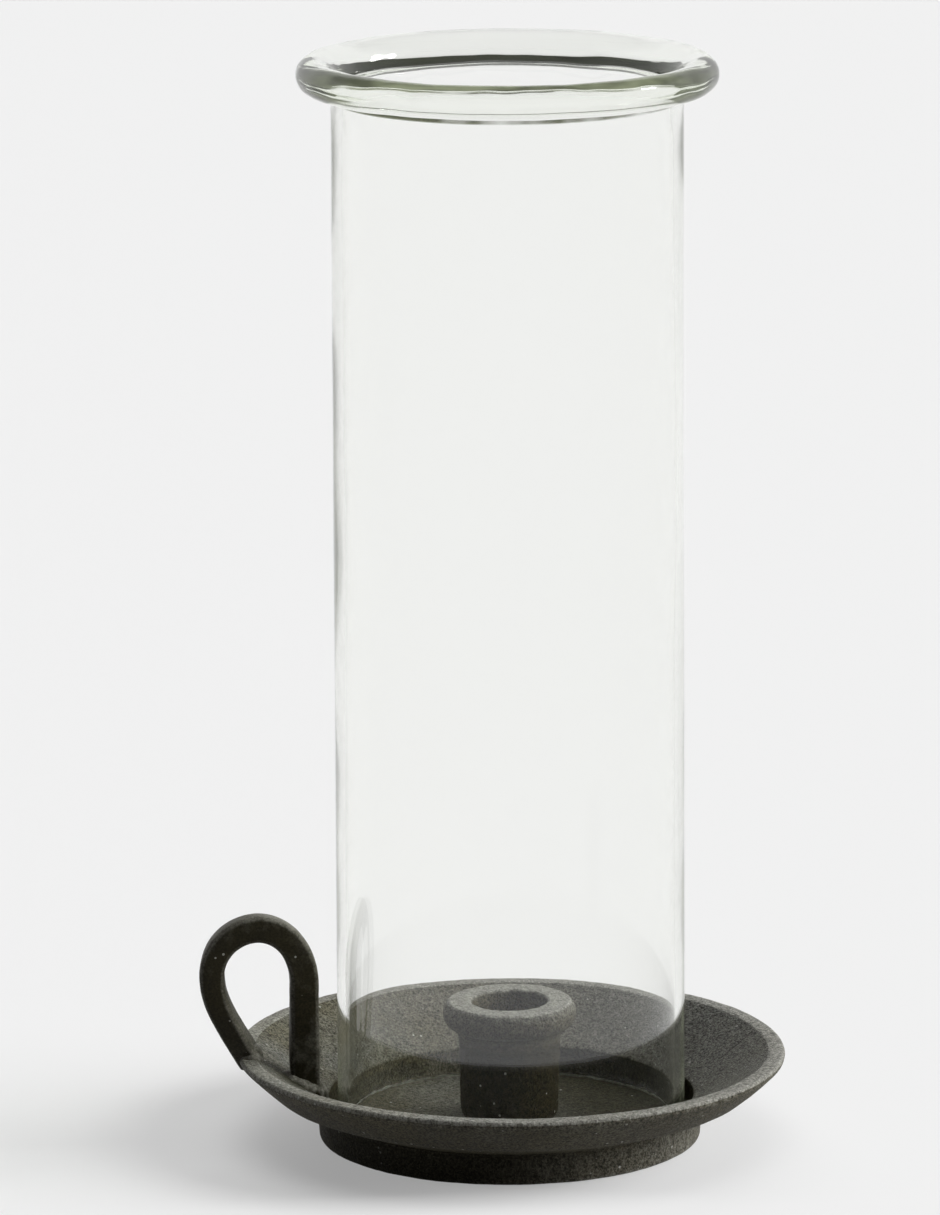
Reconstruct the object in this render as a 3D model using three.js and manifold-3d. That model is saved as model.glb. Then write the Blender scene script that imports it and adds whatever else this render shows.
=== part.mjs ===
// A chamberstick: a cast-iron pan with a candle cup, a looped handle and a loose glass chimney.
// Millimetres, +Z up. The origin is on the pan's axis, at the height of the table. The handle points to -X.

import * as THREE from 'three';
import { mergeVertices } from 'three/addons/utils/BufferGeometryUtils.js';
import Module from 'manifold-3d';

const wasm = await Module();
wasm.setup();

// Fits between pieces
const seatGap = 0.3; // between a piece and the surface that it was cut to
const chimneyPlay = 2.5; // between the chimney and the wall of the well, all round
const padPlay = 0.5; // between the felt and the edge of its recess

// Felt pad
const padThickness = 1.8;
const padProud = 0.3; // how far the felt stands below the foot
const padRadius = 48;

// Pan
const floorThickness = 3;
const wellRadius = 54.4;
const wellDepth = 8;
const dishWall = 3.9; // measured square to the slope
const rimHeight = 26.7;
const rimRadius = 81.8;
const rimWidth = 4.7;
const rimEdge = 1.8; // height of the upright edge outside the rim
const rimRounding = 0.9;
const wellFillet = 1.5;
const wellEdgeRounding = 0.8;
const kneeInset = 11.2; // from the rim to the lower edge of the pan's outer band
const kneeDrop = 11.9; // from the rim down to it
const kneeRounding = 0.5;
const bandBulge = 0.5; // how far the band bows out between the two
const footWall = 2.8; // between the well and the outside of the foot
const footDraft = 0.8; // how much the foot narrows towards the table
const footFillet = 1.2;
const footRounding = 0.8;
const panSides = 72;
const panRoundSteps = 2; // flat faces to each rounding of the pan's outline

// Candle cup
const socketRadius = 11.3;
const socketDepth = 24;
const socketFillet = 1.5;
const socketRounding = 1;
const cupHeight = 36.8; // above the floor of the well
const collarRadius = 19.75;
const collarHeight = 10.4;
const collarTopRounding = 2.2;
const collarUnderRounding = 4;
const collarFillet = 0.6;
const tubeRadius = 15.1;
const tubeDraft = 0.85; // how much the tube narrows towards its base
const baseRounding = 4.8;
const cupSides = 48;
const cupRoundSteps = 4;

// Countersunk screw
const screwRadius = 2.5;
const screwHeadRadius = 4.8;
const screwLength = 10;
const screwSlotWidth = 1.2;
const screwSlotDepth = 1.1;
const screwEndChamfer = 0.5;
const tappedHoleDepth = 8.5;
const screwSides = 24;

// Handle: a flat bar, in the upright plane through the axis
const barThickness = 8.2; // along the plane of the loop, over the bow
const barFootThickness = 9.2;
const barTipThickness = 6.8;
const barWidth = 6.5; // across the plane
const barRounding = 1.8;
const legSetback = 2.8; // from the edge of the well to the inner leg
const bowOverhang = 10.8; // how far the bow stands out past the rim
const bowRise = 39.2; // from the rim to the top of the bar's centre line
const innerBowDrop = 17; // how far the bow comes down on its inner side
const outerLegEase = 9; // how far the outer leg runs on down before it turns to the rim
const landingRun = 12; // how far it runs straight towards the rim
const landingLean = 29; // degrees from upright
const landingInset = 0.8; // from the middle of the rim
const landingDepth = 2.5; // how far the bar is driven past the rim before it is trimmed
const handleSteps = 34;
const barRoundSteps = 3;

// Weld beads
const rimWeldReach = 4.8; // along the plane of the loop
const rimWeldRise = 4.4;
const rimWeldInset = 1.5; // from the middle of the rim towards the glass
const footWeldReach = 2.2; // beyond the bar
const footWeldRise = 5.2; // square to the slope of the dish
const weldSpread = 2.4; // beyond the bar, across the plane of the loop
const weldSides = 18;
const weldRings = 12;

// Glass chimney
const glassWall = 3;
const glassDraft = 0.5; // how much the cylinder narrows towards its top
const chimneyHeight = 319.9; // from its foot to the top of its rim
const glassRimProud = 9.7; // how far the rolled rim stands out past the foot of the cylinder
const glassRimRounding = 5; // of the rolled rim's section
const rimFlare = 6; // how far below the roll's centre the inside starts to open
const neckRounding = 2;
const glassFootRounding = 0.8;
const glassSides = 64;
const glassFootSteps = 2;
const neckSteps = 3;
const rollSteps = 13;
const flareSteps = 7;

const ironColour = 0x45433a;
const glassColour = 0xe4ebe2;
const steelColour = 0x9a9a96;
const feltColour = 0x2b2a27;

// Heights above the table and radii that follow from the sizes
const footBottom = padProud;
const floorTop = padThickness + floorThickness;
const wellEdge = floorTop + wellDepth;
const rimInner = rimRadius - rimWidth;
const rimMiddle = rimRadius - rimWidth / 2;
const dishSlope = (rimHeight - wellEdge) / (rimInner - wellRadius);
const dishWallUpright = dishWall * Math.hypot(1, dishSlope);
const footTopRadius = wellRadius + footWall;
const legRadius = wellRadius + legSetback + barThickness / 2;
const bowRadius = (rimRadius + bowOverhang - barThickness / 2 - legRadius) / 2;
const bowTop = rimHeight + bowRise;
const footWeldSpan = (barFootThickness / 2 + footWeldReach) * Math.hypot(1, dishSlope); // along the slope
const screwHeadHeight = screwHeadRadius - screwRadius; // a cone of 90 degrees
const glassOuter = wellRadius - chimneyPlay;
const glassBottom = floorTop + seatGap;

const dishHeight = (radius) => wellEdge + (radius - wellRadius) * dishSlope;

function arc(centreR, centreZ, radiusR, radiusZ, from, to, steps) {
  const points = [];
  for (let i = 0; i <= steps; i += 1) {
    const angle = THREE.MathUtils.degToRad(from + ((to - from) * i) / steps);
    points.push(new THREE.Vector2(centreR + radiusR * Math.cos(angle), centreZ + radiusZ * Math.sin(angle)));
  }
  return points;
}

// Takes corners as [radius, height, rounding] and returns the outline with its corners rounded.
function roundedOutline(corners, steps) {
  const outline = [];
  corners.forEach(([r, z, rounding], i) => {
    const corner = new THREE.Vector2(r, z);
    if (!rounding) {
      outline.push(corner);
      return;
    }
    const before = corners[(i + corners.length - 1) % corners.length];
    const after = corners[(i + 1) % corners.length];
    const back = new THREE.Vector2(before[0], before[1]).sub(corner);
    const ahead = new THREE.Vector2(after[0], after[1]).sub(corner);
    const room = 0.45 * Math.min(back.length(), ahead.length());
    back.normalize();
    ahead.normalize();
    const half = Math.acos(THREE.MathUtils.clamp(back.dot(ahead), -1, 1)) / 2;
    const reach = Math.min(rounding / Math.tan(half), room);
    const radius = reach * Math.tan(half);
    const centre = back.clone().add(ahead).normalize().multiplyScalar(radius / Math.sin(half)).add(corner);
    const start = back.multiplyScalar(reach).add(corner).sub(centre);
    const end = ahead.multiplyScalar(reach).add(corner).sub(centre);
    const sweep = Math.atan2(start.cross(end), start.dot(end));
    for (let step = 0; step <= steps; step += 1) {
      outline.push(start.clone().rotateAround(new THREE.Vector2(), (sweep * step) / steps).add(centre));
    }
  });
  return outline;
}

// A turned shape about +Z. The outline closes on itself, or starts and ends on the axis.
function turned(outline, sides) {
  const ring = outline[0].x === 0 ? [...outline] : [...outline, outline[0].clone()];
  if (THREE.ShapeUtils.isClockWise(outline)) ring.reverse(); // so that the faces point out
  return new THREE.LatheGeometry(ring, sides).rotateX(Math.PI / 2);
}

// One closed solid for the boolean library, from a geometry whose shared corners are merged first.
function toSolid(geometry) {
  const bare = geometry.clone();
  bare.deleteAttribute('normal');
  bare.deleteAttribute('uv');
  const merged = mergeVertices(bare, 1e-4);
  const index = merged.index.array;
  const triangles = [];
  for (let i = 0; i < index.length; i += 3) {
    const [a, b, c] = [index[i], index[i + 1], index[i + 2]];
    if (a !== b && b !== c && c !== a) triangles.push(a, b, c);
  }
  const solid = new wasm.Manifold(new wasm.Mesh({
    numProp: 3,
    vertProperties: new Float32Array(merged.attributes.position.array),
    triVerts: new Uint32Array(triangles),
  }));
  return solid;
}

function toGeometry(solid) {
  const mesh = solid.getMesh();
  const geometry = new THREE.BufferGeometry();
  geometry.setAttribute('position', new THREE.BufferAttribute(new Float32Array(mesh.vertProperties), 3));
  geometry.setIndex(new THREE.BufferAttribute(new Uint32Array(mesh.triVerts), 1));
  return geometry;
}

function part(name, geometry, colour, finish = {}) {
  geometry.computeVertexNormals();
  const look = { color: colour, roughness: 0.75, metalness: 0.3, ...finish };
  const mesh = new THREE.Mesh(geometry, new THREE.MeshStandardMaterial(look));
  mesh.name = name;
  return mesh;
}

// Everything that lies under the pan's upper surface, raised by the gap that a trimmed piece keeps.
function spaceUnderDish() {
  const raise = seatGap * Math.hypot(1, dishSlope);
  const farOut = 2 * rimRadius;
  const farDown = -rimRadius;
  const kink = rimInner - (raise - seatGap) / dishSlope; // where the raised slope meets the raised rim
  return toSolid(turned([
    new THREE.Vector2(0, farDown),
    new THREE.Vector2(farOut, farDown),
    new THREE.Vector2(farOut, rimHeight + seatGap),
    new THREE.Vector2(kink, rimHeight + seatGap),
    new THREE.Vector2(wellRadius - seatGap, dishHeight(wellRadius - seatGap) + raise),
    new THREE.Vector2(wellRadius - seatGap, floorTop + seatGap),
    new THREE.Vector2(0, floorTop + seatGap),
  ], panSides));
}

function makePan() {
  const holeRadius = screwRadius + seatGap;
  const sinkRadius = screwHeadRadius + seatGap * Math.SQRT2;
  const recessRadius = padRadius + padPlay;
  const knee = new THREE.Vector2(rimRadius - kneeInset, rimHeight - kneeDrop);
  const bandTop = new THREE.Vector2(rimRadius, rimHeight - rimEdge);
  const band = bandTop.clone().sub(knee);
  const bulge = new THREE.Vector2(band.y, -band.x).setLength(bandBulge);
  const bandMiddle = bandTop.clone().add(knee).multiplyScalar(0.5).add(bulge);
  const outline = roundedOutline([
    [holeRadius, floorTop],
    [wellRadius, floorTop, wellFillet],
    [wellRadius, wellEdge, wellEdgeRounding],
    [rimInner, rimHeight, rimRounding],
    [rimRadius, rimHeight, rimRounding],
    [bandTop.x, bandTop.y, rimRounding],
    [bandMiddle.x, bandMiddle.y],
    [knee.x, knee.y, kneeRounding],
    [footTopRadius, dishHeight(footTopRadius) - dishWallUpright, footFillet],
    [footTopRadius - footDraft, footBottom, footRounding],
    [recessRadius, footBottom],
    [recessRadius, padThickness],
    [sinkRadius, padThickness],
    [holeRadius, padThickness + sinkRadius - holeRadius],
  ], panRoundSteps);
  return part('pan', turned(outline, panSides), ironColour);
}

function makeCup() {
  const top = floorTop + cupHeight;
  const underCollar = top - collarHeight;
  const tapRadius = screwRadius + seatGap;
  const outline = [
    new THREE.Vector2(0, top - socketDepth),
    ...roundedOutline([
      [0, top - socketDepth],
      [socketRadius, top - socketDepth, socketFillet],
      [socketRadius, top, socketRounding],
      [collarRadius, top, collarTopRounding],
      [collarRadius, underCollar, collarUnderRounding],
      [tubeRadius, underCollar, collarFillet],
      [tubeRadius - tubeDraft, floorTop, baseRounding],
      [tapRadius, floorTop],
      [tapRadius, floorTop + tappedHoleDepth],
    ], cupRoundSteps).slice(1),
    new THREE.Vector2(0, floorTop + tappedHoleDepth),
  ];
  return part('candle_cup', turned(outline, cupSides), ironColour);
}

function makeScrew() {
  const bottom = padThickness;
  const outline = roundedOutline([
    [0, bottom],
    [screwHeadRadius, bottom],
    [screwRadius, bottom + screwHeadHeight],
    [screwRadius, bottom + screwLength, screwEndChamfer],
    [0, bottom + screwLength],
  ], 1);
  const slotLength = 3 * screwHeadRadius; // runs out past the head
  const slot = new THREE.BoxGeometry(slotLength, screwSlotWidth, 2 * screwSlotDepth);
  slot.translate(0, 0, bottom);
  const screw = toSolid(turned(outline, screwSides)).subtract(toSolid(slot));
  return part('cup_screw', toGeometry(screw), steelColour, { roughness: 0.4, metalness: 0.9 });
}

// The bar's centre line, drawn as radius and height: inner leg, bow and outer leg.
function handleLine() {
  const lean = THREE.MathUtils.degToRad(landingLean);
  const towards = new THREE.Vector2(-Math.sin(lean), -Math.cos(lean));
  const landing = new THREE.Vector2(rimMiddle - landingInset, rimHeight);
  const bend = landing.clone().addScaledVector(towards, -landingRun);
  const end = landing.clone().addScaledVector(towards, landingDepth);
  const bowCentre = legRadius + bowRadius;
  const outerLeg = new THREE.Vector2(bowCentre + bowRadius, bowTop - bowRadius);
  const line = new THREE.Path();
  line.moveTo(legRadius, floorTop);
  line.lineTo(legRadius, bowTop - innerBowDrop);
  line.absellipse(bowCentre, bowTop - innerBowDrop, bowRadius, innerBowDrop, Math.PI, Math.PI / 2, true);
  line.absellipse(bowCentre, bowTop - bowRadius, bowRadius, bowRadius, Math.PI / 2, 0, true);
  line.bezierCurveTo(outerLeg.x, outerLeg.y - outerLegEase, bend.x, bend.y, landing.x, landing.y);
  line.lineTo(end.x, end.y);
  return line;
}

// The bar, bent from a straight one along that line in the plane y = 0, on the -X side of the axis.
function bar(growth) {
  const halfAcross = barWidth / 2 + growth;
  const halfAlong = barThickness / 2 + growth;
  const section = new THREE.Shape(roundedOutline([
    [-halfAcross, -halfAlong, barRounding],
    [halfAcross, -halfAlong, barRounding],
    [halfAcross, halfAlong, barRounding],
    [-halfAcross, halfAlong, barRounding],
  ], barRoundSteps));
  const geometry = new THREE.ExtrudeGeometry(section, { steps: handleSteps, depth: 1, bevelEnabled: false });
  const line = handleLine();
  const lengths = line.getCurveLengths();
  const [legEnd, , bowEnd] = lengths;
  const whole = lengths[lengths.length - 1];
  const { mapLinear } = THREE.MathUtils;
  const thicknessAt = (run) => {
    if (run < legEnd) return mapLinear(run, 0, legEnd, barFootThickness, barThickness);
    if (run > bowEnd) return mapLinear(run, bowEnd, whole, barThickness, barTipThickness);
    return barThickness;
  };
  const { position } = geometry.attributes;
  for (let i = 0; i < position.count; i += 1) {
    const share = position.getZ(i);
    const point = line.getPoint(share);
    const tangent = line.getTangent(share);
    const offset = (position.getY(i) * thicknessAt(share * whole)) / barThickness;
    const radius = point.x + tangent.y * offset;
    position.setXYZ(i, -radius, position.getX(i), point.y - tangent.x * offset);
  }
  return toSolid(geometry);
}

function makeHandle(underDish) {
  return part('handle', toGeometry(bar(0).subtract(underDish)), ironColour);
}

function weldLump(radius, reach, rise, tilt, growth = 0) {
  const lump = new THREE.SphereGeometry(1, weldSides, weldRings);
  lump.scale(reach + growth, barWidth / 2 + weldSpread + growth, rise + growth).rotateY(tilt);
  lump.translate(-radius, 0, Math.min(dishHeight(radius), rimHeight));
  return toSolid(lump);
}

// A weld bead, trimmed to the bar that it holds and to what it is laid against.
function weld(name, lump, ...neighbours) {
  const cutters = [bar(seatGap), ...neighbours];
  const bead = cutters.reduce((solid, cutter) => solid.subtract(cutter), lump);
  return part(name, toGeometry(bead), ironColour);
}

function makeWelds(underDish) {
  const tilt = Math.atan(dishSlope);
  const footLump = weldLump(legRadius, footWeldSpan, footWeldRise, tilt);
  const footClearance = weldLump(legRadius, footWeldSpan, footWeldRise, tilt, seatGap);
  const rimLump = weldLump(rimMiddle - rimWeldInset, rimWeldReach, rimWeldRise, 0);
  return [
    weld('handle_foot_weld', footLump, underDish),
    weld('handle_rim_weld', rimLump, underDish, footClearance),
  ];
}

function makeChimney() {
  const topZ = glassBottom + chimneyHeight;
  const rollZ = topZ - glassRimRounding;
  const rollRadius = glassOuter + glassRimProud - glassRimRounding;
  const neck = glassOuter - glassDraft;
  const neckCentre = neck + neckRounding;
  const neckDrop = Math.sqrt((glassRimRounding + neckRounding) ** 2 - (rollRadius - neckCentre) ** 2);
  const neckZ = rollZ - neckDrop;
  const rollStart = THREE.MathUtils.radToDeg(Math.atan2(neckDrop, rollRadius - neckCentre));
  const innerTop = neck - glassWall;
  const flareHeight = glassRimRounding + rimFlare;
  const wall = roundedOutline([
    [glassOuter - glassWall, glassBottom, glassFootRounding],
    [glassOuter, glassBottom, glassFootRounding],
    [neck, neckZ],
    [innerTop, neckZ],
  ], glassFootSteps);
  const outline = [
    ...wall.slice(0, -2), // the foot alone: the rim's arcs end the wall
    ...arc(neckCentre, neckZ, neckRounding, neckRounding, 180, rollStart, neckSteps),
    ...arc(rollRadius, rollZ, glassRimRounding, glassRimRounding, rollStart - 180, 90, rollSteps).slice(1),
    ...arc(rollRadius, rollZ - rimFlare, rollRadius - innerTop, flareHeight, 90, 180, flareSteps).slice(1),
  ];
  return part('glass_chimney', turned(outline, glassSides), glassColour, {
    roughness: 0.05,
    metalness: 0,
    transparent: true,
    opacity: 0.3,
  });
}

function makePad() {
  const outline = [
    new THREE.Vector2(0, 0),
    new THREE.Vector2(padRadius, 0),
    new THREE.Vector2(padRadius, padThickness),
    new THREE.Vector2(0, padThickness),
  ];
  return part('base_pad', turned(outline, panSides), feltColour, { roughness: 1, metalness: 0 });
}

const underDish = spaceUnderDish();
const chamberstick = new THREE.Group();
chamberstick.add(
  makePan(),
  makeCup(),
  makeScrew(),
  makeHandle(underDish),
  ...makeWelds(underDish),
  makeChimney(),
  makePad(),
);

export default chamberstick;
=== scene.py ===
import math

import bmesh
import bpy
import numpy as np
from mathutils import Euler, Matrix, Vector


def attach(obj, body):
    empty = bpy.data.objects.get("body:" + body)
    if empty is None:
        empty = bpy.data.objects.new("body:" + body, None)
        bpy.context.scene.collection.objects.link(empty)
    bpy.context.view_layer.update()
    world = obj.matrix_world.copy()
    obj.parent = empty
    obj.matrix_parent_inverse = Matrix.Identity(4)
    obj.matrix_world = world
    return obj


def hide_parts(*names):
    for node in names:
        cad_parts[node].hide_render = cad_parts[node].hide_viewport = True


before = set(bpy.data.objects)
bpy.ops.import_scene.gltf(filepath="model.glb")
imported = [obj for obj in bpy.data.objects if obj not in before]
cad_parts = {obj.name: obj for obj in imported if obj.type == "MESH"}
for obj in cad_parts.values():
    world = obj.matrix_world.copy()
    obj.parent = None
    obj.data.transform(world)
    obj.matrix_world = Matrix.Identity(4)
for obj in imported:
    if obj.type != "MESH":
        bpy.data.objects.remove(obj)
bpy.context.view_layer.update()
mm = 0.001
print("frame:", ", ".join(sorted(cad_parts)))

# Camera: fitted to the circles of the rim, foot, cup and glass, on a picture of 940 x 1215
photoView = {
    "distance": 2.3,  # level distance from the axis
    "height": 0.6675,
    "turn": -7.7,  # degrees, towards the handle
    "aim": 0.288,  # degrees, how far it looks past the axis
    "pitch": 12.417,
    "roll": -0.29,
    "focalPixels": 7981.8,
    "pictureHeight": 1215,
    "sensor": 36,
    "clip": (0.05, 60),
}


def placeCamera(view):
    turn = math.radians(view["turn"])
    place = (view["distance"] * math.sin(turn), -view["distance"] * math.cos(turn), view["height"])
    bpy.ops.object.camera_add(location=place)
    camera = bpy.context.object
    upright = Euler((math.radians(90 - view["pitch"]), 0, math.radians(view["turn"] + view["aim"])))
    roll = Matrix.Rotation(math.radians(view["roll"]), 3, "Z")
    camera.rotation_euler = (upright.to_matrix() @ roll).to_euler()
    camera.data.sensor_width = view["sensor"]
    camera.data.lens = view["focalPixels"] * view["sensor"] / view["pictureHeight"]
    camera.data.clip_start, camera.data.clip_end = view["clip"]
    bpy.context.scene.camera = camera


placeCamera(photoView)
print("camera placed")


# The shape just added becomes a named piece with its origin at the frame's, open for editing
def startPiece(name):
    piece = bpy.context.object
    piece.name = name
    piece.data.name = name
    bpy.ops.object.transform_apply(location=True, rotation=True, scale=True)
    bpy.ops.object.mode_set(mode="EDIT")
    bpy.ops.mesh.select_mode(type="VERT")
    bpy.ops.mesh.select_all(action="SELECT")
    return piece


def selectWhere(piece, test):
    mesh = bmesh.from_edit_mesh(piece.data)
    for vert in mesh.verts:
        vert.select = test(vert.co)
    mesh.select_flush_mode()
    bmesh.update_edit_mesh(piece.data)


# Round pieces: half a section is drawn out corner by corner, rounded, cut finer and spun
def drawSection(name, corners):
    bpy.ops.object.select_all(action="DESELECT")
    radius, height = corners[0]
    bpy.ops.mesh.primitive_plane_add(size=mm, location=(radius * mm, 0, height * mm))
    piece = startPiece(name)
    bpy.ops.mesh.merge(type="CENTER")
    for newRadius, newHeight in corners[1:]:
        step = ((newRadius - radius) * mm, 0, (newHeight - height) * mm)
        bpy.ops.mesh.extrude_vertices_move(TRANSFORM_OT_translate={"value": step})
        radius, height = newRadius, newHeight
    return piece


def selectSpots(piece, spots):
    places = [Vector((radius * mm, 0, height * mm)) for radius, height in spots]
    selectWhere(piece, lambda point: any((point - place).length < 0.01 * mm for place in places))


def roundSpots(piece, spots, radii, segments=4):
    for spot, radius in zip(spots, radii):
        selectSpots(piece, [spot])
        bpy.ops.mesh.bevel(offset=radius * mm, offset_type="OFFSET", segments=segments, profile=0.5,
                           affect="VERTICES")


def closeSection(piece, first, last):
    selectSpots(piece, [first, last])
    bpy.ops.mesh.edge_face_add()


def cutFiner(piece, longest):
    bpy.ops.mesh.select_mode(type="EDGE")
    tooLong = 1
    while tooLong:
        mesh = bmesh.from_edit_mesh(piece.data)
        for vert in mesh.verts:
            vert.select = False
        tooLong = 0
        for edge in mesh.edges:
            edge.select = edge.calc_length() > longest * mm
            tooLong += edge.select
        mesh.select_flush_mode()
        bmesh.update_edit_mesh(piece.data)
        if tooLong:
            bpy.ops.mesh.subdivide(number_cuts=1)


def spinRound(piece, steps):
    bpy.ops.mesh.select_all(action="SELECT")
    bpy.ops.mesh.spin(steps=steps, angle=math.tau, center=(0, 0, 0), axis=(0, 0, 1))
    finishMesh(piece)


def finishMesh(piece):
    bpy.ops.mesh.select_mode(type="VERT")
    bpy.ops.mesh.select_all(action="SELECT")
    bpy.ops.mesh.remove_doubles(threshold=0.001 * mm)
    bpy.ops.mesh.normals_make_consistent(inside=False)
    bpy.ops.object.mode_set(mode="OBJECT")
    shadeSmooth(piece)


def shadeSmooth(piece):
    piece.data.polygons.foreach_set("use_smooth", [True] * len(piece.data.polygons))


def arc(centre, radii, start, end, count):
    turns = [math.radians(start + (end - start) * i / count) for i in range(count + 1)]
    return [(centre[0] + radii[0] * math.cos(t), centre[1] + radii[1] * math.sin(t)) for t in turns]


def applyModifier(piece, kind, **settings):
    bpy.context.view_layer.objects.active = piece
    modifier = piece.modifiers.new(kind.title(), kind)
    for key, value in settings.items():
        setattr(modifier, key, value)
    bpy.ops.object.modifier_apply(modifier=modifier.name)


def smoothOut(piece, levels=1):
    applyModifier(piece, "SUBSURF", levels=levels, render_levels=levels)


def roughen(piece, name, size, depth, detail=2, middle=0.5, group=""):
    texture = bpy.data.textures.new(name, "CLOUDS")
    texture.noise_scale = size * mm
    texture.noise_depth = detail
    applyModifier(piece, "DISPLACE", texture=texture, texture_coords="LOCAL", strength=depth * mm,
                  mid_level=middle, vertex_group=group)


# How far each point stands proud of its neighbours, averaged over reach steps, for the wear in the finishes;
# the extra added on top holds more wear, and painted light on the pan's foot and outer band
def markWornEdges(piece, reach, extraWearAndLight=None):
    mesh = piece.data
    count = len(mesh.vertices)
    place = np.zeros(count * 3)
    normal = np.zeros(count * 3)
    ends = np.zeros(len(mesh.edges) * 2, dtype=int)
    mesh.vertices.foreach_get("co", place)
    mesh.vertices.foreach_get("normal", normal)
    mesh.edges.foreach_get("vertices", ends)
    place, normal, ends = place.reshape(-1, 3), normal.reshape(-1, 3), ends.reshape(-1, 2)
    proud, weight = np.zeros(count), np.zeros(count)
    for a, b in (ends.T, ends.T[::-1]):
        step = place[b] - place[a]
        length = np.maximum(np.linalg.norm(step, axis=1), 1e-9)
        np.add.at(proud, a, -(step * normal[a]).sum(1) / length ** 2)  # bend for each metre
        np.add.at(weight, a, 1)
    proud = proud / weight * mm
    for _ in range(reach):
        total, shared = proud.copy(), np.ones(count)
        for a, b in (ends.T, ends.T[::-1]):
            np.add.at(total, a, proud[b])
            np.add.at(shared, a, 1)
        proud = total / shared
    if extraWearAndLight:
        proud += [extraWearAndLight(math.hypot(x, y) / mm, z / mm) for x, y, z in place]
    layer = mesh.attributes.new("edgeWearAndPaintedLight", "FLOAT", "POINT")
    layer.data.foreach_set("value", proud.astype(np.float32))
    print("  wear of", piece.name, "from", round(float(proud.min()), 2), "to", round(float(proud.max()), 2))


# Stores on each point how much painted shade the finish lays on it
def markPaintedShade(piece, shareAt):
    layer = piece.data.attributes.new("paintedShade", "FLOAT", "POINT")
    for vert, mark in zip(piece.data.vertices, layer.data):
        mark.value = shareAt(*(vert.co / mm))


# Finishes: a value given to a node is either another node's output or a constant
def addNode(tree, kind, inputs=None, **settings):
    made = tree.nodes.new(kind)
    for key, value in settings.items():
        setattr(made, key, value)
    for key, value in (inputs or {}).items():
        if isinstance(value, bpy.types.NodeSocket):
            tree.links.new(value, made.inputs[key])
        else:
            made.inputs[key].default_value = value
    return made


def startFinish(name):
    finish = bpy.data.materials.new(name)
    finish.use_nodes = True
    finish.node_tree.nodes.clear()
    return finish, finish.node_tree


def rangeOf(tree, value, low, high, toLow=0.0, toHigh=1.0):
    inputs = {"Value": value, "From Min": low, "From Max": high, "To Min": toLow, "To Max": toHigh}
    return addNode(tree, "ShaderNodeMapRange", inputs).outputs["Result"]


def maths(tree, operation, first, second=0.0):
    return addNode(tree, "ShaderNodeMath", {0: first, 1: second}, operation=operation).outputs[0]


def times(tree, first, second):
    return maths(tree, "MULTIPLY", first, second)


def axes(tree, vector):
    split = addNode(tree, "ShaderNodeSeparateXYZ", {"Vector": vector})
    return [split.outputs[axis] for axis in "XYZ"]


def attribute(tree, name):
    return addNode(tree, "ShaderNodeAttribute", attribute_name=name).outputs["Fac"]


def mixColour(tree, factor, first, second, kind="MIX"):
    inputs = {0: factor, 6: first, 7: second}  # the colour sockets of the mix node
    return addNode(tree, "ShaderNodeMix", inputs, data_type="RGBA", blend_type=kind).outputs[2]


def noise(tree, place, scale, detail=2.0, roughness=0.5):
    inputs = {"Vector": place, "Scale": scale, "Detail": detail, "Roughness": roughness}
    return addNode(tree, "ShaderNodeTexNoise", inputs).outputs["Fac"]


def cells(tree, place, scale, output="Distance"):
    return addNode(tree, "ShaderNodeTexVoronoi", {"Vector": place, "Scale": scale}).outputs[output]


ironLooks = {
    "castIron": {
        "shade": (0.042, 0.037, 0.023, 1),  # painted shade on downward and upright faces
        "dustAndTopLight": (0.126, 0.126, 0.116, 1),  # upward faces, lighter with dust and with painted light from above
        "tint": (0.084, 0.075, 0.045, 1),  # oily brown patches
        "worn": (0.36, 0.355, 0.32, 1),
        "pit": (0.008, 0.007, 0.005, 1),
        # painted shade, multiplied in by the piece's share of it
        "paintedShade": (0.20, 0.185, 0.12, 1),
        "wear": (0.10, 0.85),
        "sand": 1350,  # grains to the metre
        "sandDepth": 0.65,
        "cast": 420,
        "castDepth": 0.30,
        "speckle": (0.25, 2.1),  # how the grains darken and lighten the iron
        "roughness": (0.50, 0.72),
        "gloss": 0.10,
        "pits": 0.6,
        # start, end and half width of a scratch in the dish, a nick in the rim and a pit near the handle
        "marks": [
            ((74.7, 10.6), (64.5, 5.8), 0.32),
            ((77.9, -3.3), (77.2, -2.7), 0.55),
            ((-52.0, 22.9), (-51.2, 22.9), 0.5),
        ],
    },
    "barIron": {
        "shade": (0.012, 0.0105, 0.006, 1),
        "dustAndTopLight": (0.24, 0.233, 0.205, 1),
        "tint": (0.040, 0.034, 0.018, 1),
        "worn": (0.30, 0.29, 0.26, 1),
        "pit": (0.008, 0.007, 0.005, 1),
        "paintedShade": (1, 1, 1, 1),
        "wear": (0.08, 0.40),
        "sand": 1500,
        "sandDepth": 0.16,
        "cast": 260,
        "castDepth": 0.20,
        "speckle": (0.65, 1.4),
        "roughness": (0.38, 0.58),
        "gloss": 0.10,
        "pits": 0.0,
        "marks": [],
    },
}
ironPatches = {  # sizes are counts to the metre, the same on all the iron
    "patch": 34,
    "oil": 22,
    "hollows": 190,
    "hollowGroups": 60,
    "flecks": 300,
    "rareFleck": 0.68,  # how few of the flecks' cells hold one
    "fleckShare": 0.7,
    "fleckColour": (0.6, 0.59, 0.55, 1),
    "brownSide": (-0.05, 0.05),  # from the handle's side to the other
    "paintedShadeShare": 0.6,
    "paintedShadeGloss": 0.03,
    "markShare": 0.75,
    "hollowDepth": 0.2,
    "markDepth": 0.25,
}


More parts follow.
